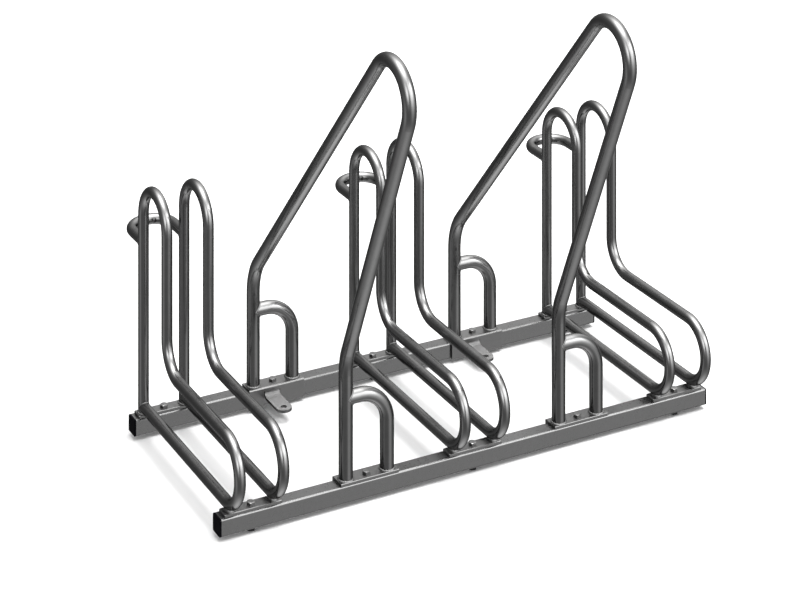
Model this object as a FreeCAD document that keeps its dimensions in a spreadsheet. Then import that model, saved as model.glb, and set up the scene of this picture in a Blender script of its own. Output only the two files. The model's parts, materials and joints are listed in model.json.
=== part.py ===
import FreeCAD, Part
import math
import os
import Sketcher

# A bike rack of bent steel tube on two square base rails, with three wheel holders and two
# lean bars. Millimetres, +Z up, +X along the rails to the right, +Y towards the rear. The
# origin lies on the ground, in the middle of the rack's whole length and depth.

# Each row is a driving dimension: its alias, its value and what it measures.
DIMENSIONS = (
    ("foot_height", 8, "ground to rail: the nuts on which the rack stands"),
    ("rail_length", 980, "square tube without its end caps"),
    ("rail_size", 30, "outside width and height of the square tube"),
    ("rail_wall", 2, "wall of the square tube"),
    ("rail_corner", 3, "outside corner radius of the square tube"),
    ("rail_spacing", 385, "front rail to rear rail, axis to axis"),
    ("rear_rail_y", 265, "rear rail's axis from the origin"),
    ("cap_flange", 3.5, "end cap outside the rail"),
    ("cap_plug", 18, "end cap inside the rail"),
    ("cap_wall", 2, "wall of the end cap's hollow core"),
    ("cap_rib", 1.2, "thickness of one gripping rib"),
    ("cap_ribs", 3, "number of ribs on a cap"),
    ("cap_rib_pitch", 4.5, "rib to rib"),
    ("cap_rib_play", 0.2, "ribs' outside under the tube's inside"),
    ("cap_rib_height", 2.4, "ribs standing out of the core"),
    ("cap_round", 1.2, "rounded outer edge of the flange"),
    ("holder_pitch", 430, "wheel holder to wheel holder"),
    ("loop_tube", 20, "round tube of the wheel holders"),
    ("loop_bend", 56, "centre-line radius of every bend of a loop"),
    ("loop_spacing", 80, "left loop to right loop, axis to axis"),
    ("loop_upright", 360, "plate to the centre of the upper bend"),
    ("loop_reach", 374, "rear upright to the centre of the nose"),
    ("loop_gap", 0.1, "root gap that the weld fills under the bottom run"),
    ("stop_height", 310, "plate to the wheel stop's axis"),
    ("stop_leg", 50, "straight part of the wheel stop behind the uprights"),
    ("plate_thickness", 5, "foot plates and saddles"),
    ("plate_length", 107, "foot plate along the rail"),
    ("plate_width", 25, "foot plate across the rail"),
    ("plate_corner", 2, "foot plate's corners seen from above"),
    ("plate_edge", 0.8, "eased upper edges of foot plates and saddles"),
    ("lean_tube", 25, "round tube of the lean bars"),
    ("lean_offset", 4, "lean bar's middle to the right of mid-pitch"),
    ("lean_spacing", 80, "main tube to small hoop's leg, axis to axis"),
    ("lean_rear_leg", 171.3, "plate to the lower rear bend"),
    ("lean_front_leg", 180.5, "plate to the lower front bend"),
    ("lean_foot_bend", 100, "radius of the two lower bends"),
    ("lean_top_bend", 63.5, "radius of the top bend"),
    ("lean_top_reach", 554, "rear leg to the centre of the top bend"),
    ("lean_top_height", 706, "plate to the centre of the top bend"),
    ("hoop_bend", 54, "radius of the small hoops' bend"),
    ("hoop_height", 139, "plate to the small hoop's level run"),
    ("saddle_length", 112, "angle along the rail"),
    ("saddle_leg", 35, "each leg of the angle"),
    ("saddle_edge", 3, "radius along the angle's heel, inside and outside"),
    ("tongue_width", 30, "fixing tongue"),
    ("tongue_offset", 10, "tongue's middle to the left of the saddle's middle"),
    ("tongue_relief", 1, "saw cut on each side of the tongue"),
    ("tongue_root", 7, "plate top to the upper end of the cuts"),
    ("tongue_drop", 17, "plate top to the tongue's upper face"),
    ("tongue_bend", 8, "inside radius where the tongue is bent out"),
    ("tongue_reach", 70.5, "rail axis to the fixing hole"),
    ("fixing_hole", 11, "hole in the tongue for a ground anchor"),
    ("bolt_size", 8, "M8 shank"),
    ("bolt_hole", 9, "clearance hole"),
    ("bolt_flats", 13, "hexagon across flats, bolt and nut"),
    ("bolt_face", 12.2, "round face between the turned-down corners, bolt and nut"),
    ("bolt_head", 5.3, "height of the bolt's head"),
    ("holder_bolt", 42, "holder's bolt below its head, flush within the nut"),
    ("lean_bolt", 20, "lean bar's bolt below its head"),
    ("nut_flange", 17.9, "flange of the nut across"),
    ("nut_flange_rim", 1.3, "thickness of the nut's flange at its rim"),
    ("nut_flange_height", 3.4, "height of the nut's flange at the hexagon"),
    ("insert_body", 11, "threaded insert's body across"),
    ("insert_head", 13.6, "threaded insert's countersunk head across"),
    ("insert_length", 16, "threaded insert below the rail's top"),
    ("insert_collar", 14, "collar folded out under the rail's wall, across"),
    ("insert_collar_height", 2, "height of the collar"),
    ("insert_fold", 1.2, "slope from the collar to the insert's body"),
)

# Where the three wheel holders stand, in pitches from the middle.
HOLDERS = (("left", -1), ("middle", 0), ("right", 1))
# Where the two lean bars stand, in half pitches from the middle.
LEAN_BARS = (("left", -1), ("right", 1))
# Half of a hexagon's side in terms of its width across flats.
HALF_SIDE = 1 / (2 * math.sqrt(3))
# Rise over run where a hexagon's corners are turned down.
CORNER_SLOPE = math.tan(math.radians(30))
# Two points nearer than this are the same point, and two radii the same radius.
SAME_PLACE = 1e-4
# Two directions are parallel when their cosine is this near to one.
PARALLEL = 1e-6

UP = FreeCAD.Vector(0, 0, 1)
ALONG = FreeCAD.Vector(1, 0, 0)

doc = FreeCAD.newDocument("BikeRack")
sheet = doc.addObject("Spreadsheet::Sheet", "Sizes")
for row, (alias, value, note) in enumerate(DIMENSIONS, 1):
    sheet.set(f"A{row}", alias)
    sheet.set(f"B{row}", str(value))
    sheet.set(f"C{row}", note)
    sheet.setAlias(f"B{row}", alias)
doc.recompute()


class Length:
    """A length on the drawing: the sheet formula that drives it and its millimetres now."""

    def __init__(self, formula, number):
        self.formula = formula
        self.number = number

    def __add__(self, other):
        other = length(other)
        return Length(f"({self.formula} + {other.formula})", self.number + other.number)

    def __neg__(self):
        return self * -1

    def __sub__(self, other):
        return self + -length(other)

    def __rsub__(self, other):
        return length(other) + -self

    def __mul__(self, factor):
        return Length(f"({self.formula} * {factor})", self.number * factor)

    def __truediv__(self, divisor):
        return Length(f"({self.formula} / {divisor})", self.number / divisor)

    __radd__ = __add__
    __rmul__ = __mul__


def length(value):
    """A Length from a Length or a plain number."""
    if isinstance(value, Length):
        return value
    return Length(str(value), value)


def size(alias):
    """The Length that the sheet holds under an alias."""
    return Length(f"Sizes.{alias}", float(sheet.get(alias)))


PLATE_TOP = size("foot_height") + size("rail_size") + size("plate_thickness")
RAIL_TOP = size("foot_height") + size("rail_size")
REAR = size("rear_rail_y")
FRONT = size("rear_rail_y") - size("rail_spacing")


# Bodies and their places

def new_body(label):
    """An empty body for one piece; its label is the piece's name."""
    body = doc.addObject("PartDesign::Body", label)
    body.Label = label
    return body


def place(body, x, y, z, turn=0):
    """Stand a piece at x, y and z, turned by whole degrees about the vertical."""
    body.Placement = FreeCAD.Placement(FreeCAD.Vector(), FreeCAD.Rotation(UP, turn))
    for axis, where in (("x", x), ("y", y), ("z", z)):
        body.setExpression(f".Placement.Base.{axis}", length(where).formula)


# Sketches

def sketch_on(body, name, plane_role, offset=0, turn=0):
    """A sketch on one of the body's own origin planes, moved along and turned about its normal."""
    sketch = body.newObject("Sketcher::SketchObject", name)
    plane = next(p for p in body.Origin.OriginFeatures if p.Role == plane_role)
    sketch.AttachmentSupport = [(plane, "")]
    sketch.MapMode = "FlatFace"
    sketch.AttachmentOffset = FreeCAD.Placement(FreeCAD.Vector(), FreeCAD.Rotation(UP, turn))
    sketch.setExpression(".AttachmentOffset.Base.z", length(offset).formula)
    return sketch


def dimension(sketch, name, kind, where, measure):
    """A named dimension of the sketch, bound to the sheet."""
    index = sketch.addConstraint(Sketcher.Constraint(kind, *where, measure.number))
    sketch.renameConstraint(index, name)
    sketch.setExpression(f"Constraints.{name}", measure.formula)


def pin(sketch, name, point, x, y):
    """Hold a point of the sketch at x and y from the sketch's origin."""
    for kind, other_axis, where in (("DistanceX", -2, length(x)), ("DistanceY", -1, length(y))):
        if where.number == 0:
            sketch.addConstraint(Sketcher.Constraint("PointOnObject", *point, other_axis))
        else:
            dimension(sketch, f"{name}_{kind[-1].lower()}", kind, (-1, 1, *point), where)


def vector(x, y):
    """A sketch point from two lengths."""
    return FreeCAD.Vector(length(x).number, length(y).number, 0)


def outline(sketch, corners, name="corner"):
    """A closed outline of straight lines through the corners."""
    lines = []
    for (x, y), (next_x, next_y) in zip(corners, corners[1:] + corners[:1]):
        line = Part.LineSegment(vector(x, y), vector(next_x, next_y))
        lines.append(sketch.addGeometry(line, False))
    for line, following in zip(lines, lines[1:] + lines[:1]):
        sketch.addConstraint(Sketcher.Constraint("Coincident", line, 2, following, 1))
    for number, (line, (x, y)) in enumerate(zip(lines, corners), 1):
        pin(sketch, f"{name}{number}", (line, 1), x, y)


def rectangle(sketch, width, height, name="corner"):
    """A rectangle about the sketch's origin."""
    right = width / 2
    top = height / 2
    outline(sketch, [(-right, -top), (right, -top), (right, top), (-right, top)], name)


def hexagon(sketch, flats):
    """A regular hexagon about the sketch's origin, by its width across flats."""
    edge = flats * HALF_SIDE
    point = edge * 2
    side = flats / 2
    outline(sketch, [(point, 0), (edge, side), (-edge, side), (-point, 0), (-edge, -side), (edge, -side)])


def circle(sketch, x, y, diameter, name="circle"):
    """A circle about x and y."""
    round_line = Part.Circle(vector(x, y), UP, length(diameter).number / 2)
    number = sketch.addGeometry(round_line, False)
    pin(sketch, name, (number, 3), x, y)
    dimension(sketch, f"{name}_diameter", "Diameter", (number,), diameter)


def heading_between(first, second):
    """Heading of the straight tube between two bends, each given as (x, y, signed radius)."""
    across = second[0] - first[0]
    along = second[1] - first[1]
    lean = math.asin((second[2] - first[2]) / math.hypot(across, along))
    return math.atan2(along, across) - lean


def touch_point(bend, heading):
    """Where a straight tube with this heading touches a bend."""
    x, y, radius = bend
    return FreeCAD.Vector(x + radius * math.sin(heading), y - radius * math.cos(heading), 0)


def tube_path(sketch, start, bends, end):
    """The centre line of a bent tube: straight runs and bends, each tangent to the next.

    A bend is (x, y, radius, turn) with its centre and turn "left" or "right" as the tube runs.
    """
    sign = {"left": 1, "right": -1}
    stops = [(length(start[0]).number, length(start[1]).number, 0)]
    stops += [(length(x).number, length(y).number, r.number * sign[turn]) for x, y, r, turn in bends]
    stops += [(length(end[0]).number, length(end[1]).number, 0)]
    headings = [heading_between(one, two) for one, two in zip(stops, stops[1:])]

    runs = []
    for one, two, heading in zip(stops, stops[1:], headings):
        run = Part.LineSegment(touch_point(one, heading), touch_point(two, heading))
        runs.append(sketch.addGeometry(run, False))

    last_piece = (runs[0], 2)
    for number, (x, y, radius, turn) in enumerate(bends):
        bend = stops[number + 1]
        ends = [touch_point(bend, heading) for heading in headings[number:number + 2]]
        if turn == "right":
            ends.reverse()
        angles = [math.atan2(point.y - bend[1], point.x - bend[0]) for point in ends]
        round_line = Part.Circle(vector(x, y), UP, radius.number)
        arc = sketch.addGeometry(Part.ArcOfCircle(round_line, *angles), False)
        first, last = (1, 2) if turn == "left" else (2, 1)
        sketch.addConstraint(Sketcher.Constraint("Tangent", *last_piece, arc, first))
        sketch.addConstraint(Sketcher.Constraint("Tangent", arc, last, runs[number + 1], 1))
        pin(sketch, f"bend{number + 1}", (arc, 3), x, y)
        dimension(sketch, f"bend{number + 1}_radius", "Radius", (arc,), radius)
        last_piece = (runs[number + 1], 2)
    pin(sketch, "start", (runs[0], 1), *start)
    pin(sketch, "end", (runs[-1], 2), *end)


# Features

def finish(body, feature):
    """Rebuild and make this feature the body's latest state."""
    body.Tip = feature
    doc.recompute()
    return feature


def pad(body, sketch, thickness, side="One side", backwards=False):
    """Raise a sketch to a thickness."""
    feature = body.newObject("PartDesign::Pad", "Pad")
    feature.Profile = sketch
    feature.SideType = side
    feature.Reversed = backwards
    feature.setExpression("Length", thickness.formula)
    return finish(body, feature)


def cut(body, sketch, side="Symmetric", backwards=False, depth=None):
    """Cut a sketch to a depth, or right through the body when no depth is given."""
    feature = body.newObject("PartDesign::Pocket", "Pocket")
    feature.Profile = sketch
    feature.SideType = side
    feature.Reversed = backwards
    if depth is None:
        feature.Type = "ThroughAll"
    else:
        feature.setExpression("Length", depth.formula)
    before = feature.BaseFeature.Shape.Volume
    finish(body, feature)
    if feature.Shape.Volume >= before:
        raise RuntimeError(f"{body.Label}: a cut took nothing away")
    return feature


def turn_round(body, sketch, kind="PartDesign::Revolution"):
    """Turn a half section once round the upright axis, to add or with a Groove to cut."""
    feature = body.newObject(kind, kind.split("::")[1])
    feature.Profile = sketch
    feature.ReferenceAxis = (sketch, ["V_Axis"])
    feature.Angle = 360
    return finish(body, feature)


def sweep(body, section, path):
    """Draw a tube's section along its centre line."""
    feature = body.newObject("PartDesign::AdditivePipe", "Tube")
    feature.Profile = (section, [""])
    feature.Spine = (path, [])
    return finish(body, feature)


def ease(body, kind, edges, amount):
    """Fillet or chamfer the named edges of the body's latest state."""
    base = body.Tip
    feature = body.newObject(f"PartDesign::{kind}", kind)
    feature.Base = (base, edges)
    feature.setExpression("Radius" if kind == "Fillet" else "Size", amount.formula)
    return finish(body, feature)


def straight_edges(body, direction, where):
    """Names of the straight edges along a direction whose middle point passes a test."""
    names = []
    for number, edge in enumerate(body.Tip.Shape.Edges, 1):
        if edge.Curve.TypeId != "Part::GeomLine":
            continue
        if abs(abs(edge.Curve.Direction.dot(direction)) - 1) > PARALLEL:
            continue
        if where(edge.CenterOfMass):
            names.append(f"Edge{number}")
    return names


def at_point(across, up, other_across, other_up):
    """Whether two points of a section are the same."""
    return abs(across - other_across) + abs(up - other_up) < SAME_PLACE


def edges_at_height(body, height, where=lambda edge: True):
    """Names of the edges that lie level at a height and pass a test."""
    names = []
    for number, edge in enumerate(body.Tip.Shape.Edges, 1):
        box = edge.BoundBox
        if abs(box.ZMin - height) + abs(box.ZMax - height) < SAME_PLACE and where(edge):
            names.append(f"Edge{number}")
    return names


def is_round(edge, radius):
    """Whether an edge is an arc or circle of this radius."""
    return hasattr(edge.Curve, "Radius") and abs(edge.Curve.Radius - radius) < SAME_PLACE


# Base rails

def holder_x(position):
    """Where a wheel holder stands along the rails."""
    return size("holder_pitch") * position


def lean_x(position):
    """Where a lean bar's foot is bolted along the rails."""
    return size("holder_pitch") * (position / 2) + size("lean_offset")


def make_rail(label, y):
    """A square tube, drilled right through for the holders and from above for the inserts."""
    body = new_body(label)
    section = sketch_on(body, "section", "YZ_Plane")
    outside = size("rail_size")
    inside = size("rail_size") - size("rail_wall") * 2
    rectangle(section, outside, outside, "outside")
    rectangle(section, inside, inside, "inside")
    pad(body, section, size("rail_length"), "Symmetric")
    middle_of_wall = (outside.number + inside.number) / 4
    outer = straight_edges(body, ALONG, lambda point: abs(point.y) > middle_of_wall)
    ease(body, "Fillet", outer, size("rail_corner"))
    inner = straight_edges(body, ALONG, lambda point: max(abs(point.y), abs(point.z)) < middle_of_wall)
    ease(body, "Fillet", inner, size("rail_corner") - size("rail_wall"))

    bolt_holes = sketch_on(body, "bolt_holes", "XY_Plane")
    for name, position in HOLDERS:
        circle(bolt_holes, holder_x(position), 0, size("bolt_hole"), name)
    cut(body, bolt_holes)

    insert_holes = sketch_on(body, "insert_holes", "XY_Plane")
    for name, position in LEAN_BARS:
        circle(insert_holes, lean_x(position), 0, size("insert_body"), name)
    cut(body, insert_holes, "One side", backwards=True)
    insert_radius = size("insert_body").number / 2
    rims = edges_at_height(body, outside.number / 2, lambda edge: is_round(edge, insert_radius))
    ease(body, "Chamfer", rims, (size("insert_head") - size("insert_body")) / 2)
    place(body, 0, y, size("foot_height") + outside / 2)


def make_cap(label, x, y, turn):
    """A pressed-in end cap: a flange, and a hollow core with three ribs that grip the tube."""
    body = new_body(label)
    inside = size("rail_size") - size("rail_wall") * 2
    rib = inside - size("cap_rib_play")
    core = rib - size("cap_rib_height") * 2

    flange = sketch_on(body, "flange", "YZ_Plane")
    rectangle(flange, size("rail_size"), size("rail_size"))
    pad(body, flange, size("cap_flange"), backwards=True)
    ease(body, "Fillet", straight_edges(body, ALONG, lambda point: True), size("rail_corner"))
    outer_face = -size("cap_flange").number
    rim = [f"Edge{number}" for number, edge in enumerate(body.Tip.Shape.Edges, 1)
           if abs(edge.BoundBox.XMin - outer_face) + abs(edge.BoundBox.XMax - outer_face) < SAME_PLACE]
    ease(body, "Fillet", rim, size("cap_round"))

    hollow_core = sketch_on(body, "core", "YZ_Plane")
    rectangle(hollow_core, core, core, "outside")
    rectangle(hollow_core, core - size("cap_wall") * 2, core - size("cap_wall") * 2, "inside")
    pad(body, hollow_core, size("cap_plug"))

    first_rib = sketch_on(body, "rib", "YZ_Plane", size("cap_rib_pitch"))
    rectangle(first_rib, rib, rib, "outside")
    rectangle(first_rib, core - size("cap_wall"), core - size("cap_wall"), "inside")
    one_rib = pad(body, first_rib, size("cap_rib"))
    pattern = body.newObject("PartDesign::LinearPattern", "Ribs")
    pattern.Originals = [one_rib]
    pattern.Direction = (first_rib, ["N_Axis"])
    pattern.Mode = "Spacing"
    pattern.setExpression("Offset", "Sizes.cap_rib_pitch")
    pattern.setExpression("Occurrences", "Sizes.cap_ribs")
    finish(body, pattern)
    half_rib = rib.number / 2
    corners = straight_edges(
        body, ALONG, lambda point: at_point(abs(point.y), abs(point.z), half_rib, half_rib))
    ease(body, "Chamfer", corners, size("rail_corner") - size("rail_wall"))
    place(body, x, y, size("foot_height") + size("rail_size") / 2, turn)


# Wheel holders

def make_loop(label, x):
    """One side of a wheel holder, bent from a single tube.

    From its foot on the rear plate the tube goes up, over a narrow hoop and down, turns
    forward along the upper run, round the nose and back along the plates into its own foot.
    Both sections are turned, so that their seams stay clear of the joint at the foot.
    """
    body = new_body(label)
    bend = size("loop_bend")
    run_height = size("loop_tube") / 2 + size("loop_gap")
    stub = size("loop_tube") * 2
    front_leg = bend * 2
    path = sketch_on(body, "path", "YZ_Plane")
    tube_path(
        path, (0, 0),
        [(-bend, size("loop_upright"), bend, "left"),
         (-front_leg - bend, run_height + bend * 3, bend, "right"),
         (-size("loop_reach"), run_height + bend, bend, "left")],
        (-stub, run_height))
    section = sketch_on(body, "section", "XY_Plane", turn=90)
    circle(section, 0, 0, size("loop_tube"))
    sweep(body, section, path)
    run_end = sketch_on(body, "run_end", "XZ_Plane", turn=90)
    circle(run_end, run_height, 0, size("loop_tube"))
    pad(body, run_end, stub)
    place(body, x, REAR, PLATE_TOP)


def make_wheel_stop(label, x):
    """A hoop behind the two uprights that stops the wheel, its ends fitted to the uprights."""
    body = new_body(label)
    half = size("loop_spacing") / 2
    path = sketch_on(body, "path", "XY_Plane")
    tube_path(path, (-half, 0), [(0, size("stop_leg"), half, "right")], (half, 0))
    section = sketch_on(body, "section", "XZ_Plane")
    circle(section, -half, 0, size("loop_tube"))
    sweep(body, section, path)
    uprights = sketch_on(body, "uprights", "XY_Plane")
    circle(uprights, -half, 0, size("loop_tube"), "left")
    circle(uprights, half, 0, size("loop_tube"), "right")
    cut(body, uprights)
    place(body, x, REAR, PLATE_TOP + size("stop_height"))


def make_foot_plate(label, x, y):
    """A flat plate on the rail, with the bolt in its middle."""
    body = new_body(label)
    plate = sketch_on(body, "plate", "XY_Plane")
    rectangle(plate, size("plate_length"), size("plate_width"))
    circle(plate, 0, 0, size("bolt_hole"))
    pad(body, plate, size("plate_thickness"), backwards=True)
    ease(body, "Fillet", straight_edges(body, UP, lambda point: True), size("plate_corner"))
    hole_radius = size("bolt_hole").number / 2
    rim = edges_at_height(body, 0, lambda edge: not is_round(edge, hole_radius))
    ease(body, "Chamfer", rim, size("plate_edge"))
    place(body, x, y, PLATE_TOP)


# Lean bars

def make_lean_bar(label, x):
    """The tall bar: up from the rear rail, forward over the top and down to the front rail."""
    body = new_body(label)
    foot_bend = size("lean_foot_bend")
    path = sketch_on(body, "path", "YZ_Plane")
    tube_path(
        path, (0, 0),
        [(-foot_bend, size("lean_rear_leg"), foot_bend, "left"),
         (-size("lean_top_reach"), size("lean_top_height"), size("lean_top_bend"), "left"),
         (-size("rail_spacing") - foot_bend, size("lean_front_leg"), foot_bend, "right")],
        (-size("rail_spacing"), 0))
    section = sketch_on(body, "section", "XY_Plane")
    circle(section, 0, 0, size("lean_tube"))
    sweep(body, section, path)
    place(body, x - size("lean_spacing") / 2, REAR, PLATE_TOP)


def make_small_hoop(label, x, y):
    """A quarter hoop from the saddle up and across to the lean bar, fitted to its tube."""
    body = new_body(label)
    half = size("lean_spacing") / 2
    bend = size("hoop_bend")
    path = sketch_on(body, "path", "XZ_Plane")
    tube_path(path, (half, 0), [(half - bend, size("hoop_height") - bend, bend, "left")],
              (-half, size("hoop_height")))
    section = sketch_on(body, "section", "XY_Plane")
    circle(section, half, 0, size("lean_tube"))
    sweep(body, section, path)
    bar = sketch_on(body, "bar", "XY_Plane")
    circle(bar, -half, 0, size("lean_tube"))
    cut(body, bar)
    place(body, x, y, PLATE_TOP)


def make_saddle(label, x, y, turn, with_tongue):
    """An angle over the rail's top and inner side; the rear one has a fixing tongue."""
    body = new_body(label)
    leg = size("saddle_leg")
    thickness = size("plate_thickness")
    heel = size("rail_size") / 2 + thickness
    toe = leg - heel
    section = sketch_on(body, "section", "YZ_Plane")
    outline(section, [(-heel, 0), (-heel, -leg), (thickness - heel, -leg),
                      (thickness - heel, -thickness), (toe, -thickness), (toe, 0)])
    pad(body, section, size("saddle_length"), "Symmetric")
    outside = heel.number
    inside = (heel - thickness).number
    heel_edges = straight_edges(
        body, ALONG, lambda point: at_point(point.y, point.z, -outside, 0)
        or at_point(point.y, point.z, -inside, -thickness.number))
    ease(body, "Fillet", heel_edges, size("saddle_edge"))
    toe_edges = straight_edges(
        body, ALONG, lambda point: at_point(point.y, point.z, toe.number, 0)
        or at_point(point.y, point.z, -outside, -leg.number))
    ease(body, "Chamfer", toe_edges, size("plate_edge"))
    bolt = sketch_on(body, "bolt_hole", "XY_Plane")
    circle(bolt, 0, 0, size("bolt_hole"))
    cut(body, bolt)
    if with_tongue:
        add_tongue(body, heel, leg)
    place(body, x, y, PLATE_TOP, turn)


def add_tongue(body, heel, leg):
    """Cut a strip free in the angle's skirt, bend it out level, round it and drill it."""
    thickness = size("plate_thickness")
    width = size("tongue_width")
    middle = -size("tongue_offset")
    root = -size("tongue_root")
    upper = -size("tongue_drop")
    reach = size("tongue_reach")
    gap = width / 2 + size("tongue_relief")

    window = sketch_on(body, "window", "XZ_Plane", heel)
    below = -leg - size("tongue_relief")
    outline(window, [(middle - gap, below), (middle + gap, below),
                     (middle + gap, root), (middle - gap, root)])
    cut(body, window, "One side", depth=thickness)

    strip = sketch_on(body, "strip", "YZ_Plane", middle)
    outline(strip, [(-heel, root), (-heel, upper), (-reach, upper), (-reach, upper - thickness),
                    (thickness - heel, upper - thickness), (thickness - heel, root)])
    pad(body, strip, width, "Symmetric")
    bends = ((-heel.number, upper.number, size("tongue_bend")),
             ((thickness - heel).number, (upper - thickness).number, size("tongue_bend") + thickness))
    for y, z, radius in bends:
        edge = straight_edges(body, ALONG, lambda point: at_point(point.y, point.z, y, z))
        ease(body, "Fillet", edge, radius)

    tip = sketch_on(body, "tip", "XY_Plane", upper)
    circle(tip, middle, -reach, width)
    pad(body, tip, thickness, backwards=True)
    fixing = sketch_on(body, "fixing_hole", "XY_Plane", upper)
    circle(fixing, middle, -reach, size("fixing_hole"))
    cut(body, fixing)


# Fasteners

def hexagon_chamfer(body, face, side):
    """Turn a hexagon's corners down at its end face, which looks up (1) or down (-1)."""
    inner = size("bolt_face") / 2
    outer = size("bolt_flats")
    depth = (outer - inner) * (CORNER_SLOPE * side)
    corner = sketch_on(body, "corner", "XZ_Plane")
    outline(corner, [(inner, face), (outer, face), (outer, face - depth)])
    turn_round(body, corner, "PartDesign::Groove")


def make_bolt(label, x, y, shank_length):
    """A hexagon bolt, drawn from under its head."""
    body = new_body(label)
    head = sketch_on(body, "head", "XY_Plane")
    hexagon(head, size("bolt_flats"))
    pad(body, head, size("bolt_head"))
    hexagon_chamfer(body, size("bolt_head"), 1)
    shank = sketch_on(body, "shank", "XY_Plane")
    circle(shank, 0, 0, size("bolt_size"))
    pad(body, shank, shank_length, backwards=True)
    ease(body, "Chamfer", edges_at_height(body, -shank_length.number), size("plate_edge"))
    place(body, x, y, PLATE_TOP)


def make_nut(label, x, y):
    """A flange nut under the rail, flange upwards; the rack stands on its lower face."""
    body = new_body(label)
    top = size("foot_height")
    rim = size("nut_flange") / 2
    half_flats = size("bolt_flats") / 2
    lower = top - size("nut_flange_height")
    flange = sketch_on(body, "flange", "XZ_Plane")
    outline(flange, [(0, top), (rim, top), (rim, top - size("nut_flange_rim")),
                     (half_flats, lower), (0, lower)])
    turn_round(body, flange)
    hexagon_part = sketch_on(body, "hexagon", "XY_Plane")
    hexagon(hexagon_part, size("bolt_flats"))
    pad(body, hexagon_part, top)
    hexagon_chamfer(body, length(0), -1)
    thread = sketch_on(body, "thread", "XY_Plane")
    circle(thread, 0, 0, size("bolt_size"))
    cut(body, thread)
    place(body, x, y, 0)


def make_insert(label, x, y):
    """A threaded insert, pulled up so that its collar grips the rail's wall from below."""
    body = new_body(label)
    bore = size("bolt_size") / 2
    head = size("insert_head") / 2
    shaft = size("insert_body") / 2
    under_wall = -size("rail_wall")
    collar = size("insert_collar") / 2
    collar_foot = under_wall - size("insert_collar_height")
    foot = -size("insert_length")
    section = sketch_on(body, "section", "XZ_Plane")
    outline(section, [(bore, 0), (head, 0), (shaft, shaft - head), (shaft, under_wall),
                      (collar, under_wall), (collar, collar_foot),
                      (shaft, collar_foot - size("insert_fold")), (shaft, foot), (bore, foot)])
    turn_round(body, section)
    place(body, x, y, RAIL_TOP)


# The whole rack

for rail, y in (("front", FRONT), ("rear", REAR)):
    make_rail(f"{rail}_rail", y)
    make_cap(f"{rail}_rail_left_cap", -size("rail_length") / 2, y, 0)
    make_cap(f"{rail}_rail_right_cap", size("rail_length") / 2, y, 180)

for name, position in HOLDERS:
    middle_x = holder_x(position)
    for side, sign in (("left", -1), ("right", 1)):
        make_loop(f"{name}_holder_{side}_loop", middle_x + size("loop_spacing") * (sign / 2))
    make_wheel_stop(f"{name}_holder_wheel_stop", middle_x)
    for rail, y in (("front", FRONT), ("rear", REAR)):
        make_foot_plate(f"{name}_holder_{rail}_plate", middle_x, y)
        make_bolt(f"{name}_holder_{rail}_bolt", middle_x, y, size("holder_bolt"))
        make_nut(f"{name}_holder_{rail}_nut", middle_x, y)

for name, position in LEAN_BARS:
    middle_x = lean_x(position)
    make_lean_bar(f"{name}_lean_bar", middle_x)
    for rail, y, turn in (("front", FRONT, 180), ("rear", REAR, 0)):
        make_small_hoop(f"{name}_lean_{rail}_hoop", middle_x, y)
        make_saddle(f"{name}_lean_{rail}_saddle", middle_x, y, turn, rail == "rear")
        make_bolt(f"{name}_lean_{rail}_bolt", middle_x, y, size("lean_bolt"))
        make_insert(f"{name}_lean_{rail}_insert", middle_x, y)

doc.recompute()

# Nothing is written unless every object and every piece is sound.
for item in doc.Objects:
    if "Invalid" in item.State or "Error" in item.State:
        raise RuntimeError(f"{item.Label}: {item.State}")
pieces = [item for item in doc.Objects if item.TypeId == "PartDesign::Body"]
for piece in pieces:
    if piece.Shape.isNull() or not piece.Shape.isValid() or len(piece.Shape.Solids) != 1:
        raise RuntimeError(f"{piece.Label}: not one sound solid")

os.makedirs("parts", exist_ok=True)
for piece in pieces:
    piece.Shape.exportStep(f"parts/{piece.Label}.step")
box = FreeCAD.BoundBox()
for piece in pieces:
    box.add(piece.Shape.optimalBoundingBox(False, False))
print(f"{len(pieces)} pieces, {box.XLength:.2f} x {box.YLength:.2f} x {box.ZLength:.2f} mm")
print(f"from {box.XMin:.2f}, {box.YMin:.2f}, {box.ZMin:.2f}")
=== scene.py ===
# %% [markdown]
# A bike rack of bent steel tube: three wheel holders and two lean bars, bolted to two square
# rails. The imported model brings every piece in its real size and place. This lesson gives the
# pieces their finish, adds the weld seams that hold the tubes together, and lights the rack
# like a product picture.

# %% Load the imported model
import bpy
import json
import math
from mathutils import Matrix, Vector


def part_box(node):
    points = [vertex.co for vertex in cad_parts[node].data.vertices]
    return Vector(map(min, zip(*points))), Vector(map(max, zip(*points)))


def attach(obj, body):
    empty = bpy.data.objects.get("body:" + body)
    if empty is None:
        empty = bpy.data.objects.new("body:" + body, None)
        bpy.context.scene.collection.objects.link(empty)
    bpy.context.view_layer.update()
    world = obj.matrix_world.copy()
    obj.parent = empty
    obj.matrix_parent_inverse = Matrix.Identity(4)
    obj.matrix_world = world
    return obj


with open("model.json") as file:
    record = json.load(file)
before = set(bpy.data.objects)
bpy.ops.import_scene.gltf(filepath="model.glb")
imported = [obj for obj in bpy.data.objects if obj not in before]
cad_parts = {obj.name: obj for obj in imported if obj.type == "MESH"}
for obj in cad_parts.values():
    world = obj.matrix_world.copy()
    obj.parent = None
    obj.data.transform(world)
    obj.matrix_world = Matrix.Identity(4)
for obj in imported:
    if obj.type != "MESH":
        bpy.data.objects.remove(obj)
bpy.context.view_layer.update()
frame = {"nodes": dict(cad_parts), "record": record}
nodes = frame["nodes"]

# %% [markdown]
# The weld seams need the middles of the tubes and the height of the plates. They are read from
# the boxes of the pieces, so that the seams follow the model if a size changes there.

# %% Read where things stand


def middle(node):
    """Middle of a piece's box."""
    least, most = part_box(node)
    return (Vector(least) + Vector(most)) / 2


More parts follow.
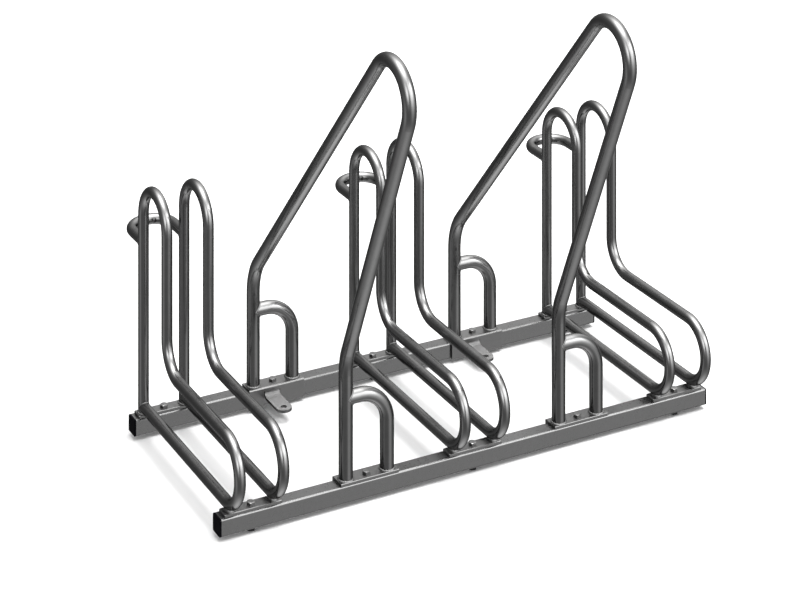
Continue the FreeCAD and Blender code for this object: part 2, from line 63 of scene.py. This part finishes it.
HOLDERS = ("left", "middle", "right")
SIDES = ("left", "right")
RAILS = ("front", "rear")
plate_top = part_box("left_holder_rear_plate")[1][2]
rail_y = {rail: middle(f"{rail}_rail").y for rail in RAILS}
stop_height = middle("left_holder_wheel_stop").z
print(f"plates end at {plate_top:.3f} m, wheel stops at {stop_height:.3f} m, rails at", rail_y)

# %% [markdown]
# The picture was taken from the left front and from above, and yet its uprights stay exactly
# parallel, as with a view camera whose film stands upright. A plain camera that looks down
# would let them converge. Here the camera looks down, and its upright direction is leaned
# back to the world's own upright. The lean is kept in the parent's inverse matrix, so the lens
# needs no shift.

# %% Place the camera
PICTURE_WIDTH = 800
PICTURE_HEIGHT = 600
HORIZON_ROW = -738.44
FOCAL_PIXELS = 2369.65
SENSOR = 36.0
TURN = math.radians(27.943)
EYE = Vector((-2.07998, -3.76752, 2.13797))


def leaned_camera():
    """A camera at the eye point whose picture keeps uprights upright."""
    pitch = math.atan((PICTURE_HEIGHT / 2 - HORIZON_ROW) / FOCAL_PIXELS)
    right = Vector((math.cos(TURN), -math.sin(TURN), 0))
    forward = Vector((math.sin(TURN), math.cos(TURN), 0))
    upright = Vector((0, 0, 1))
    back = upright * math.sin(pitch) - forward * math.cos(pitch)
    lens = bpy.data.cameras.new("camera")
    lens.sensor_width = SENSOR
    lens.lens = FOCAL_PIXELS / math.cos(pitch) * SENSOR / PICTURE_WIDTH
    lens.clip_start = 0.1
    lens.clip_end = 60
    camera = bpy.data.objects.new("camera", lens)
    tripod = bpy.data.objects.new("tripod", None)
    for thing in (camera, tripod):
        bpy.context.scene.collection.objects.link(thing)
    camera.parent = tripod
    columns = (right, upright, back, EYE)
    rows = [[column[row] for column in columns] for row in range(3)]
    camera.matrix_parent_inverse = Matrix(rows + [[0, 0, 0, 1]])
    bpy.context.scene.camera = camera
    print(f"the camera looks down {math.degrees(pitch):.1f} degrees, lens {lens.lens:.0f} mm")


leaned_camera()

# %% [markdown]
# Node trees are wired by small helpers: one adds a node with its settings and one joins two
# sockets. Sockets that share a name, such as the two values of a calculation, are told apart by
# their place: _0 is the first. An effect that several finishes share is a node group, with named
# inputs and outputs.

# %% Helpers for node trees


def add(tree, kind, settings=None, **inputs):
    """A new node with its settings and the values or links of its inputs."""
    node = tree.nodes.new(kind)
    for name, value in (settings or {}).items():
        setattr(node, name, value)
    for name, value in inputs.items():
        feed(tree, value, node.inputs[int(name[1:]) if name[1:].isdigit() else name])
    return node


def feed(tree, value, socket):
    """Link an output to a socket, or set the socket to a plain value."""
    if isinstance(value, bpy.types.NodeSocket):
        tree.links.new(value, socket)
    else:
        socket.default_value = value


def math_node(tree, operation, first, second=0.0):
    """Output of one calculation."""
    return add(tree, "ShaderNodeMath", {"operation": operation}, _0=first, _1=second).outputs[0]


def ramp(tree, value, start, end, low=0.0, high=1.0, curve="LINEAR"):
    """Output that goes from low to high while the value goes from start to end."""
    node = add(tree, "ShaderNodeMapRange", {"interpolation_type": curve},
               _0=value, _1=start, _2=end, _3=low, _4=high)
    return node.outputs[0]


def new_group(name, inputs, outputs):
    """An empty node group; inputs are (name, kind, value) and outputs are names of numbers.

    Besides the group it returns what its inputs give and the sockets that take its results.
    """
    group = bpy.data.node_groups.new(name, "ShaderNodeTree")
    for label, kind, value in inputs:
        socket = group.interface.new_socket(label, in_out="INPUT", socket_type=kind)
        socket.default_value = value
    for label in outputs:
        group.interface.new_socket(label, in_out="OUTPUT", socket_type="NodeSocketFloat")
    return group, group.nodes.new("NodeGroupInput").outputs, group.nodes.new("NodeGroupOutput").inputs


print("helpers ready")

# %% [markdown]
# Smooth steel is a mirror, so its look is the look of the room. In the picture the tubes are
# dark at the height of the horizon, grey from below and white from above, with tall soft boxes
# in front, at the left and at the far right. Each of them is one soft patch of light on the
# sky: brightest where it aims, and falling off smoothly around. One group makes such a patch.
# A flag is a black card that hides a part of a box, so it is a patch that takes light away.

# %% A soft patch of light
NUMBER = "NodeSocketFloat"
DIRECTION = "NodeSocketVector"


def patch_group():
    """Brightness of a patch in a direction: brightness x exp(sharpness x (cosine - 1))."""
    group, given, result = new_group(
        "soft_patch",
        [("Direction", DIRECTION, (0, 0, 1)), ("Aim", DIRECTION, (0, 0, 1)),
         ("Sharpness", NUMBER, 10), ("Brightness", NUMBER, 1)], ["Light"])
    cosine = add(group, "ShaderNodeVectorMath", {"operation": "DOT_PRODUCT"},
                 _0=given["Direction"], _1=given["Aim"]).outputs["Value"]
    away = math_node(group, "SUBTRACT", cosine, 1)
    falloff = math_node(group, "EXPONENT", math_node(group, "MULTIPLY", away, given["Sharpness"]))
    feed(group, math_node(group, "MULTIPLY", falloff, given["Brightness"]), result["Light"])
    return group


soft_patch = patch_group()
print("soft_patch takes", [item.name for item in soft_patch.interface.items_tree])

# %% [markdown]
# The room is one world with two faces. What scatters light, such as the floor, gets an even
# white dome. Only mirrors see the patches: the Light Path node tells a mirrored ray from the
# others. Low glows stand for the pale floor's light, and flags trim the boxes' edges. A wide sun
# high up, leaning a little towards the front, gives the tubes their soft shadows.

# %% Light the room
WHITE = (1, 1, 1, 1)
DOME = 0.97
# Every direction has at least the horizon's light, and no flag takes it under the darkest.
HORIZON = 0.35
DARKEST = 0.05
# Aim across and up in degrees, sharpness and brightness of each patch.
PATCHES = {
    "ceiling": (11, 87, 8.7, 13.42),
    "grey_ground": (-262, -85, 7.4, 2.34),
    "front_left_box": (-79, 40, 36.1, 4.42),
    "front_right_box": (-42, 30, 47.6, 9.00),
    "left_box": (-128, 23, 27.9, 4.98),
    "left_wall": (-128, 32, 8.8, 1.86),
    "far_right_box": (39, 30, 11.0, 2.50),
    "rear_panel": (86, 49, 36.8, 0.95),
    "low_front_box": (-72, 19, 13.5, 4.40),
    "front_glow": (-62, -18, 14.0, 0.85),
    "left_glow": (176, -23, 22.0, 0.70),
    "left_flag": (-100, 17, 46.1, -2.00),
    "rear_flag": (110, -8, 8.0, -0.17),
    "right_flag": (60, -22, 12.0, -0.10),
    "right_box_edge": (-41, 19, 12.1, 3.47),
}


def heading(across, up):
    """Unit vector for an angle across from +X and an angle up."""
    across, up = math.radians(across), math.radians(up)
    return (math.cos(across) * math.cos(up), math.sin(across) * math.cos(up), math.sin(up))


def light_room():
    """The white dome, and the soft boxes that the steel mirrors."""
    world = bpy.data.worlds.new("studio")
    bpy.context.scene.world = world
    world.use_nodes = True
    tree = world.node_tree
    dome = tree.nodes["Background"]
    dome.inputs["Color"].default_value = WHITE
    dome.inputs["Strength"].default_value = DOME
    look = add(tree, "ShaderNodeTexCoord").outputs["Generated"]
    total = None
    for name, (across, up, sharpness, brightness) in PATCHES.items():
        patch = add(tree, "ShaderNodeGroup", {"node_tree": soft_patch, "name": name}, Direction=look,
                    Aim=heading(across, up), Sharpness=sharpness, Brightness=brightness)
        total = math_node(tree, "ADD", patch.outputs["Light"], HORIZON if total is None else total)
    total = math_node(tree, "MAXIMUM", total, DARKEST)
    mirrored = add(tree, "ShaderNodeBackground", Color=WHITE, Strength=total)
    in_mirror = add(tree, "ShaderNodeLightPath").outputs["Is Glossy Ray"]
    chooser = add(tree, "ShaderNodeMixShader", _0=in_mirror, _1=dome.outputs[0], _2=mirrored.outputs[0])
    feed(tree, chooser.outputs[0], tree.nodes["World Output"].inputs["Surface"])
    print("the steel mirrors", ", ".join(PATCHES))


def high_lamp(energy=3.2, width=40, lean=16, across=-50):
    """A wide sun, angles in degrees; mirrors see the patches in its place."""
    lamp = bpy.data.lights.new("high_lamp", "SUN")
    lamp.energy = energy
    lamp.angle = math.radians(width)
    above = bpy.data.objects.new("high_lamp", lamp)
    above.rotation_euler = (0, math.radians(lean), math.radians(across))
    above.visible_glossy = False
    bpy.context.scene.collection.objects.link(above)


light_room()
high_lamp()
bpy.context.scene.view_settings.view_transform = "Standard"

# %% [markdown]
# The floor is a plain pale sheet that runs far behind the rack, so that it has no edge in the
# picture. Mirrors don't see it, because the patch of grey ground stands in for it there.

# %% Lay the floor
FLOOR_COLOR = (0.91, 0.91, 0.91, 1)
FLOOR_ROUGHNESS = 0.9


def new_material(name):
    """A material, its node tree and its Principled shader."""
    material = bpy.data.materials.new(name)
    material.use_nodes = True
    return material, material.node_tree, material.node_tree.nodes["Principled BSDF"]


def lay_floor(half=12.0):
    """A square sheet on the ground."""
    mesh = bpy.data.meshes.new("floor")
    corners = [(-half, -half, 0), (half, -half, 0), (half, half, 0), (-half, half, 0)]
    mesh.from_pydata(corners, [], [(0, 1, 2, 3)])
    floor = bpy.data.objects.new("floor", mesh)
    bpy.context.scene.collection.objects.link(floor)
    floor.visible_glossy = False
    material, tree, shader = new_material("pale_floor")
    shader.inputs["Base Color"].default_value = FLOOR_COLOR
    shader.inputs["Roughness"].default_value = FLOOR_ROUGHNESS
    shader.inputs["Specular IOR Level"].default_value = 0
    mesh.materials.append(material)
    print(f"a floor {half * 2:.0f} m wide")


lay_floor()

# %% [markdown]
# Rolled and drawn steel is never quite even. Slow clouds, about as wide as the tube, change how
# it shines, and a fine grain scatters the light a little. The group gives both as numbers
# around one half, for sizes in metres. It works in the object's own space, because bent tubes
# have no flat map.

# %% Grain of the steel


def grain_group():
    """Slow clouds and fine grain, both from 0 to 1."""
    sizes = [("Cloud Size", NUMBER, 0.03), ("Grain Size", NUMBER, 0.0006)]
    group, given, result = new_group("metal_grain", sizes, ["Clouds", "Grain"])
    place = add(group, "ShaderNodeTexCoord").outputs["Object"]
    for label, size, detail in (("Clouds", "Cloud Size", 5), ("Grain", "Grain Size", 2)):
        scale = math_node(group, "DIVIDE", 1, given[size])
        noise = add(group, "ShaderNodeTexNoise", Vector=place, Scale=scale, Detail=detail, Roughness=0.6)
        feed(group, noise.outputs["Fac"], result[label])
    return group


metal_grain = grain_group()
print("metal_grain gives clouds and grain")

# %% [markdown]
# Edges that hands, tyres and locks rub are brighter and smoother than the faces beside them.
# A Bevel node bends the normal close to an edge only, so the angle between that normal and the
# true one shows where the edges are. Noise breaks the line up, as wear does.

# %% Rubbed edges
# Cosines of the two normals' angle where wear begins and where it is full.
FLAT_COSINE = 0.995
EDGE_COSINE = 0.85


def wear_group():
    """A mask that is 1 on rubbed edges and 0 on faces."""
    settings = [("Width", NUMBER, 0.001), ("Break Up", NUMBER, 0.5)]
    group, given, result = new_group("edge_wear", settings, ["Wear"])
    soft = add(group, "ShaderNodeBevel", {"samples": 4}, Radius=given["Width"]).outputs["Normal"]
    true = add(group, "ShaderNodeNewGeometry").outputs["Normal"]
    product = add(group, "ShaderNodeVectorMath", {"operation": "DOT_PRODUCT"}, _0=soft, _1=true)
    edge = ramp(group, product.outputs["Value"], FLAT_COSINE, EDGE_COSINE, curve="SMOOTHSTEP")
    place = add(group, "ShaderNodeTexCoord").outputs["Object"]
    noise = add(group, "ShaderNodeTexNoise", Vector=place, Scale=160.0, Detail=3.0).outputs["Fac"]
    kept = math_node(group, "SUBTRACT", 1, math_node(group, "MULTIPLY", noise, given["Break Up"]))
    feed(group, math_node(group, "MULTIPLY", edge, kept), result["Wear"])
    return group


edge_wear = wear_group()
print("edge_wear marks rubbed edges")

# %% [markdown]
# Outdoors, dust settles on what faces up, and rain throws grit at what is near the ground. The
# group reads which way the surface faces and how high it lies, and lets noise make it patchy.

# %% Settled dust


def dust_group():
    """A mask that grows on upward faces and near the ground."""
    settings = [("Amount", NUMBER, 0.3), ("Splash Height", NUMBER, 0.06)]
    group, given, result = new_group("settled_dust", settings, ["Dust"])
    geometry = add(group, "ShaderNodeNewGeometry")
    position = geometry.outputs["Position"]
    facing = add(group, "ShaderNodeSeparateXYZ", _0=geometry.outputs["Normal"]).outputs["Z"]
    height = add(group, "ShaderNodeSeparateXYZ", _0=position).outputs["Z"]
    settled = ramp(group, facing, 0.5, 1.0, curve="SMOOTHSTEP")
    splashed = ramp(group, height, given["Splash Height"], 0.0, high=0.7, curve="SMOOTHSTEP")
    noise = add(group, "ShaderNodeTexNoise", Vector=position, Scale=45.0, Detail=6.0, Roughness=0.65)
    patchy = ramp(group, noise.outputs["Fac"], 0.35, 0.7)
    where = math_node(group, "MAXIMUM", settled, splashed)
    there = math_node(group, "MULTIPLY", where, patchy)
    feed(group, math_node(group, "MULTIPLY", there, given["Amount"]), result["Dust"])
    return group


settled_dust = dust_group()
print("settled_dust marks dusty faces")

# %% [markdown]
# The fixing tongues are bent out of their saddles. What faces up on them gets a painted sheen:
# it is painted lighter, standing in for the light their tops catch, and it is made rough. They
# are the only plates that reach in between the rails, so a place between the rails is enough to
# find them. The cut sides are left alone.

# %% Painted sheen on the tongues


def tongue_sheen_group():
    """A mask of painted sheen: 1 on what faces up between two rails, and 0 elsewhere."""
    settings = [("Middle", NUMBER, 0.0), ("Half Gap", NUMBER, 0.1)]
    group, given, result = new_group("painted_tongue_sheen", settings, ["Bent"])
    geometry = add(group, "ShaderNodeNewGeometry")
    depth = add(group, "ShaderNodeSeparateXYZ", _0=geometry.outputs["Position"]).outputs["Y"]
    facing = add(group, "ShaderNodeSeparateXYZ", _0=geometry.outputs["Normal"]).outputs["Z"]
    away = math_node(group, "ABSOLUTE", math_node(group, "SUBTRACT", depth, given["Middle"]))
    inside = math_node(group, "SUBTRACT", given["Half Gap"], away)
    within = ramp(group, inside, 0.0, 0.001, curve="SMOOTHSTEP")
    # Only upward faces get the painted sheen.
    upwards = ramp(group, facing, 0.05, 0.25, curve="SMOOTHSTEP")
    feed(group, math_node(group, "MULTIPLY", within, upwards), result["Bent"])
    return group


painted_tongue_sheen = tongue_sheen_group()
between_rails = (rail_y["front"] + rail_y["rear"]) / 2
half_gap = between_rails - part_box("left_lean_front_saddle")[1][1]
print(f"painted_tongue_sheen marks steel within {half_gap:.4f} m of Y = {between_rails:.4f}")

# %% [markdown]
# Every steel piece gets its finish from one recipe, with its own values: the tone of the metal,
# how rough it is, and how much grain, wear and dust it shows. The metal is dark, because only
# a dark mirror can be grey where the ceiling is far brighter than white. The tint of the edge
# keeps the rims of the tubes dark as well. Dust is dull and not metallic. Numbers that are the
# same all over are set on the shader; only what changes over the surface comes from nodes.

# %% Finish of the steel
STEEL_DUST = (0.2, 0.19, 0.175, 1)
DUST_DULLS = 0.3
DUST_HIDES_METAL = 0.6
# The clouds' numbers between which a finish goes from its smoothest to its roughest.
CLEAR = 0.3
CLOUDED = 0.7


def mix_colors(tree, factor, first, second):
    """Output of a mix of two colours."""
    node = add(tree, "ShaderNodeMix", {"data_type": "RGBA"})
    for socket, value in ((node.inputs[0], factor), (node.inputs[6], first), (node.inputs[7], second)):
        feed(tree, value, socket)
    return node.outputs[2]


def grey(tone, blue=0.0):
    """A neutral colour, or a slightly blue one."""
    return (tone, tone, tone + blue, 1)


def use_group(tree, group, **inputs):
    """Outputs of a node group; an input's name has _ for a space."""
    spaced = {name.replace("_", " "): value for name, value in inputs.items()}
    return add(tree, "ShaderNodeGroup", {"node_tree": group}, **spaced).outputs


def dull_with_dust(tree, spread, dusty, shader):
    """Feed the roughness, which dust adds to."""
    feed(tree, math_node(tree, "ADD", spread, math_node(tree, "MULTIPLY", dusty, DUST_DULLS)),
         shader.inputs["Roughness"])


def grain_bump(tree, grain, depth, shader):
    """Feed the normal, which the grain disturbs."""
    bump = add(tree, "ShaderNodeBump", Height=grain["Grain"], Distance=depth, Strength=1.0)
    feed(tree, bump.outputs["Normal"], shader.inputs["Normal"])


def steel_finish(name, tone, rough, wear=0.6, dust=0.15, grain_size=0.0006, cloud_size=0.03,
                 clouding=0.06, grain_depth=0.00001, rim=0.58, tongue_sheen_rough=0.0, tongue_sheen_tone=0.19):
    """Steel with clouds, grain, rubbed edges and a little dust, with a painted sheen and more roughness
    on the tongues' tops.

    Tones and roughness go from 0 to 1, and sizes and depths are in metres. With a
    tongue_sheen_rough of 0 there is no painted sheen.
    """
    material, tree, shader = new_material(f"{name}_finish")
    grain = use_group(tree, metal_grain, Cloud_Size=cloud_size, Grain_Size=grain_size)
    worn = use_group(tree, edge_wear, Width=0.0012)["Wear"]
    dusty = use_group(tree, settled_dust, Amount=dust)["Dust"]
    cloudy = mix_colors(tree, grain["Clouds"], grey(tone * (1 - clouding)), grey(tone * (1 + clouding)))
    bare_tone = min(tone * 2.2, 0.7)
    metal = mix_colors(tree, math_node(tree, "MULTIPLY", worn, wear), cloudy, grey(bare_tone))
    spread = ramp(tree, grain["Clouds"], CLEAR, CLOUDED, rough * 0.85, rough * 1.2)
    # On the tongues' upward faces a painted sheen: the metal is painted lighter, and it is made rough.
    if tongue_sheen_rough:
        sheen_mask = use_group(tree, painted_tongue_sheen, Middle=between_rails, Half_Gap=half_gap)["Bent"]
        metal = mix_colors(tree, sheen_mask, metal, grey(tongue_sheen_tone))
        spread = ramp(tree, sheen_mask, 0.0, 1.0, spread, tongue_sheen_rough)
    feed(tree, mix_colors(tree, dusty, metal, STEEL_DUST), shader.inputs["Base Color"])
    dull_with_dust(tree, spread, dusty, shader)
    hidden = math_node(tree, "MULTIPLY", dusty, DUST_HIDES_METAL)
    feed(tree, math_node(tree, "SUBTRACT", 1, hidden), shader.inputs["Metallic"])
    grain_bump(tree, grain, grain_depth, shader)
    shader.inputs["Specular Tint"].default_value = grey(rim)
    return material


finishes = {
    "tube_steel": steel_finish("tube_steel", 0.14, 0.16, cloud_size=0.012, clouding=0.12),
    "rail_steel": steel_finish("rail_steel", 0.13, 0.29, wear=0.15, dust=0.05, cloud_size=0.006,
                               clouding=0.08, grain_depth=0.000004),
    # The plate steel gets the painted sheen on its tongues' tops.
    "plate_steel": steel_finish("plate_steel", 0.13, 0.34, wear=0.25, cloud_size=0.006, clouding=0.08,
                                tongue_sheen_rough=0.75),
    "bolt_steel": steel_finish("bolt_steel", 0.15, 0.32, wear=0.7),
    "insert_zinc": steel_finish("insert_zinc", 0.3, 0.35, wear=0.4),
    "weld_steel": steel_finish("weld_steel", 0.13, 0.42, wear=0.0, cloud_size=0.004, clouding=0.15),
}
print("steel finishes:", ", ".join(finishes))

# %% [markdown]
# The nuts are blackened steel, rubbed lighter on their corners. The end caps are moulded
# plastic, almost black with a breath of blue, finely pitted by the mould.

# %% Finish of nuts and caps
GROUND_DUST = (0.09, 0.085, 0.08, 1)


def black_finish(name, tone, blue, rough, rubbed_tone, metallic, pit_depth, sheen):
    """Black parts whose edges are rubbed lighter."""
    material, tree, shader = new_material(f"{name}_finish")
    grain = use_group(tree, metal_grain, Cloud_Size=0.01, Grain_Size=0.0008)
    worn = use_group(tree, edge_wear, Width=0.0008)["Wear"]
    dusty = use_group(tree, settled_dust, Amount=0.05)["Dust"]
    cloudy = mix_colors(tree, grain["Clouds"], grey(tone * 0.8, blue), grey(tone * 1.25, blue))
    rubbed = mix_colors(tree, math_node(tree, "MULTIPLY", worn, 0.5), cloudy, grey(rubbed_tone, blue))
    feed(tree, mix_colors(tree, dusty, rubbed, GROUND_DUST), shader.inputs["Base Color"])
    spread = ramp(tree, grain["Clouds"], CLEAR, CLOUDED, rough * 0.85, rough * 1.15)
    dull_with_dust(tree, spread, dusty, shader)
    grain_bump(tree, grain, pit_depth, shader)
    shader.inputs["Metallic"].default_value = metallic
    shader.inputs["Specular IOR Level"].default_value = sheen
    shader.inputs["Specular Tint"].default_value = grey(0.5)
    return material


finishes["nut_black"] = black_finish(
    "nut_black", tone=0.02, blue=0.001, rough=0.35, rubbed_tone=0.08,
    metallic=1.0, pit_depth=0.00001, sheen=0.1)
finishes["cap_plastic"] = black_finish(
    "cap_plastic", tone=0.002, blue=0.001, rough=0.5, rubbed_tone=0.006,
    metallic=0.0, pit_depth=0.00003, sheen=0.005)
print("black finishes: nut_black, cap_plastic")

# %% [markdown]
# The record says which finish slot each piece has. The material goes into the slots that the
# piece already has, so that its mesh is left alone.

# %% Dress every piece


def dress(pieces):
    """Put each piece's finish in its material slots."""
    counts = {}
    for part in frame["record"]["subparts"]:
        node = pieces[part["node"]]
        slot = part["material_slot"]
        for place in node.material_slots:
            place.material = finishes[slot]
        counts[slot] = counts.get(slot, 0) + 1
    print("dressed", counts)


dress(nodes)

# %% [markdown]
# The tubes are welded to their plates and to each other. A weld seam is a low ridge of metal in
# the corner between two surfaces, with small overlapping ripples where the torch moved on. Each
# seam is one mesh: it follows a path in the corner, with a short slanted section that rests one
# toe on each surface and sinks a little into both. The ripples are a wave along the path that
# lags in the middle of the section, which gives them their crescent shape.

# %% One weld seam
RIPPLE = 0.0024
STEPS_PER_RIPPLE = 4
SECTION_STEPS = 4
# How much a ripple widens and lifts the seam, and how far its middle lags, in ripples.
WIDENING = 0.07
LIFTING = 0.3
LAG = 0.4
# An open seam has its full size from this share of its length on, and starts at its end size.
TAPER_SHARE = 1 / 6
END_SIZE = 0.1
# Two toes whose sum is shorter than this point away from each other.
OPPOSITE = 0.2


def weld_mesh(name, points, faces):
    """A smooth mesh of weld metal that rides on the rack."""
    mesh = bpy.data.meshes.new(name)
    mesh.from_pydata(points, [], faces)
    mesh.polygons.foreach_set("use_smooth", [True] * len(mesh.polygons))
    mesh.materials.append(finishes["weld_steel"])
    piece = bpy.data.objects.new(name, mesh)
    bpy.context.scene.collection.objects.link(piece)
    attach(piece, "root")


def end_taper(share):
    """Size of an open seam at a share of its length: small at both ends, full in between."""
    grown = min(1.0, min(share, 1 - share) / TAPER_SHARE) ** 0.5
    return grown * (1 - END_SIZE) + END_SIZE


def weld_seam(name, path, length, closed=True, width=0.0027, crown=0.0007, sink=0.0002):
    """A rippled ridge; path gives the corner and both toe directions for a share of its length."""
    ripples = round(length / RIPPLE)
    steps = ripples * STEPS_PER_RIPPLE
    points, faces = [], []
    for step in range(steps if closed else steps + 1):
        share = step / steps
        corner, first_toe, second_toe = path(share)
        outwards = (first_toe + second_toe).normalized()
        if (first_toe + second_toe).length < OPPOSITE:
            outwards = (corner - path(share + 0.5)[0]).normalized()
        taper = 1.0 if closed else end_taper(share)
        for row in range(SECTION_STEPS + 1):
            across = row / SECTION_STEPS
            arch = math.sin(math.pi * across)
            wave = math.sin(math.tau * (share * ripples - LAG * arch))
            reach = width * taper * (1 + WIDENING * wave)
            lift = (crown * (1 + LIFTING * wave) + sink) * arch * taper - sink
            toe = first_toe * (1 - across) + second_toe * across
            points.append(corner + toe * reach + outwards * lift)
    row_size = SECTION_STEPS + 1
    for step in range(steps):
        for row in range(SECTION_STEPS):
            here = step * row_size + row
            there = (step + 1) * row_size % len(points) + row
            faces.append((here, there, there + 1, here + 1))
    weld_mesh(name, points, faces)


UP = Vector((0, 0, 1))
ALONG = Vector((1, 0, 0))
DEPTH = Vector((0, 1, 0))
print(f"ripples {RIPPLE * 1000:.1f} mm apart")

# %% [markdown]
# A foot seam is a ring around an upright, where it stands on its plate. The uprights are those
# of the wheel holders, the legs of the lean bars and the legs of the small hoops.

# %% Weld the feet
FOOT_SEAM_WIDTH = 0.0022
FOOT_SEAM_CROWN = 0.0005


def half_width(node):
    """Half of a piece's size along the rails: the tube's radius, where the piece lies in a plane."""
    least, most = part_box(node)
    return (most[0] - least[0]) / 2


loop_radius = half_width("left_holder_left_loop")
bar_radius = half_width("left_lean_bar")
loop_x = {(holder, side): middle(f"{holder}_holder_{side}_loop").x
          for holder in HOLDERS for side in SIDES}
bar_x = {side: middle(f"{side}_lean_bar").x for side in SIDES}
hoop_x = {side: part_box(f"{side}_lean_rear_hoop")[1][0] - bar_radius for side in SIDES}


def foot_ring(x, y, radius):
    """Path around an upright tube on a plate."""
    def path(share):
        out = Vector((math.cos(share * math.tau), math.sin(share * math.tau), 0))
        return Vector((x, y, plate_top)) + out * radius, out, UP
    return path


feet = []
for (holder, side), x in loop_x.items():
    feet.append((f"{holder}_holder_{side}_foot_weld", x, rail_y["rear"], loop_radius))
for side in SIDES:
    for rail in RAILS:
        feet.append((f"{side}_lean_{rail}_foot_weld", bar_x[side], rail_y[rail], bar_radius))
        feet.append((f"{side}_lean_{rail}_hoop_foot_weld", hoop_x[side], rail_y[rail], bar_radius))
for name, x, y, radius in feet:
    ring = foot_ring(x, y, radius)
    weld_seam(name, ring, math.tau * radius, width=FOOT_SEAM_WIDTH, crown=FOOT_SEAM_CROWN)
print(len(feet), "foot seams")

# %% [markdown]
# Where one tube ends against another of the same size, its end is cut hollow to fit, and the
# seam runs round the saddle-shaped joint. A point of that curve lies on both tubes at once: for
# an angle round the branch it is found on the branch's circle and then moved along the branch
# until it reaches the main tube. Each toe lies square to the curve, in its own surface.

# %% Weld the tube joints
JOINT_SEAM_WIDTH = 0.0017
JOINT_SEAM_CROWN = 0.0004
JOINT_SEAM_SINK = 0.0005
# The saddle-shaped ring is about this much longer than the tube's round.
RING_STRETCH = 1.2
# A share of the ring this long on both sides of a point gives the seam's direction there.
NEARBY = 0.01


def saddle_ring(centre, branch, radius):
    """Path round the joint of a branch tube with an upright tube of the same radius."""
    side = branch.cross(UP)

    def point(share):
        cosine, sine = math.cos(share * math.tau), math.sin(share * math.tau)
        return centre + (side * cosine + UP * sine + branch * abs(sine)) * radius

    def path(share):
        here = point(share)
        run = (point(share + NEARBY) - point(share - NEARBY)).normalized()
        cosine, sine = math.cos(share * math.tau), math.sin(share * math.tau)
        off_branch = side * cosine + UP * sine
        off_main = side * cosine + branch * abs(sine)
        branch_toe = off_branch.cross(run).normalized()
        branch_toe = branch_toe if branch_toe.dot(branch) > 0 else -branch_toe
        main_toe = off_main.cross(run).normalized()
        main_toe = main_toe if main_toe.dot(off_branch - branch_toe) > 0 else -main_toe
        return here, main_toe, branch_toe
    return path


run_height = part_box("left_holder_left_loop")[0][2] + loop_radius
hoop_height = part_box("left_lean_rear_hoop")[1][2] - bar_radius
rear = rail_y["rear"]
joints = []
for (holder, side), x in loop_x.items():
    joints.append((f"{holder}_holder_{side}_run_weld", (x, rear, run_height), -DEPTH, loop_radius))
    joints.append((f"{holder}_holder_{side}_stop_weld", (x, rear, stop_height), DEPTH, loop_radius))
for side in SIDES:
    for rail in RAILS:
        place = (bar_x[side], rail_y[rail], hoop_height)
        joints.append((f"{side}_lean_{rail}_hoop_weld", place, ALONG, bar_radius))
for name, place, branch, radius in joints:
    ring = saddle_ring(Vector(place), branch, radius)
    weld_seam(name, ring, math.tau * radius * RING_STRETCH, width=JOINT_SEAM_WIDTH,
              crown=JOINT_SEAM_CROWN, sink=JOINT_SEAM_SINK)
print(len(joints), "joint seams")

# %% [markdown]
# On the front plates each wheel holder lies along the plate and then curls up off it. Its seam
# runs along one side of the tube, round under the curl and back along the other side, and fills
# the wedge between tube and plate. The height of the wedge follows from the bend: the tube's
# underside rises like a circle with the bend's radius and the tube's together.

# %% Weld the front of the wheel holders
NOSE_BEND = 0.056
NOSE_SEAM_LENGTH = 0.058
NOSE_SEAM_WIDTH = 0.0028
NOSE_SEAM_CROWN = 0.0005
# The seam's half width across the tube, and its two ends and its foremost point along it.
HALF_ACROSS = 0.0078
SEAM_START = rail_y["front"] + 0.0124
SEAM_FRONT = rail_y["front"] - 0.0108
# Where the run ends and the nose's bend begins.
NOSE_START = rail_y["front"] + 0.011
# Powers that square off the seam's outline, across the tube and along it.
WIDTH_POWER = 0.5
REACH_POWER = 0.7
# The toe on the plate in seam widths, and how far the seam reaches up onto the tube.
PLATE_TOE = 0.4
TUBE_OVERLAP = 0.0003


def nose_path(x):
    """Path on the plate around the end of the straight run, with the wedge's height."""
    underside = run_height - loop_radius

    def path(share):
        angle = share * math.pi
        side = -math.copysign(abs(math.cos(angle)) ** WIDTH_POWER, math.cos(angle)) * HALF_ACROSS
        forward = math.sin(angle) ** REACH_POWER
        y = SEAM_START + (SEAM_FRONT - SEAM_START) * forward
        out = Vector((side / HALF_ACROSS, -forward, 0)).normalized()
        past = max(NOSE_START - y, 0)
        outer = NOSE_BEND + math.sqrt(loop_radius ** 2 - side ** 2)
        rise = underside + NOSE_BEND + loop_radius - math.sqrt(outer ** 2 - past ** 2) - plate_top
        tube_toe = UP * (rise + TUBE_OVERLAP) / NOSE_SEAM_WIDTH
        return Vector((x + side, y, plate_top)), out * PLATE_TOE, tube_toe
    return path


for (holder, side), x in loop_x.items():
    weld_seam(f"{holder}_holder_{side}_nose_weld", nose_path(x), NOSE_SEAM_LENGTH, closed=False,
              width=NOSE_SEAM_WIDTH, crown=NOSE_SEAM_CROWN)
print(len(loop_x), "nose seams")
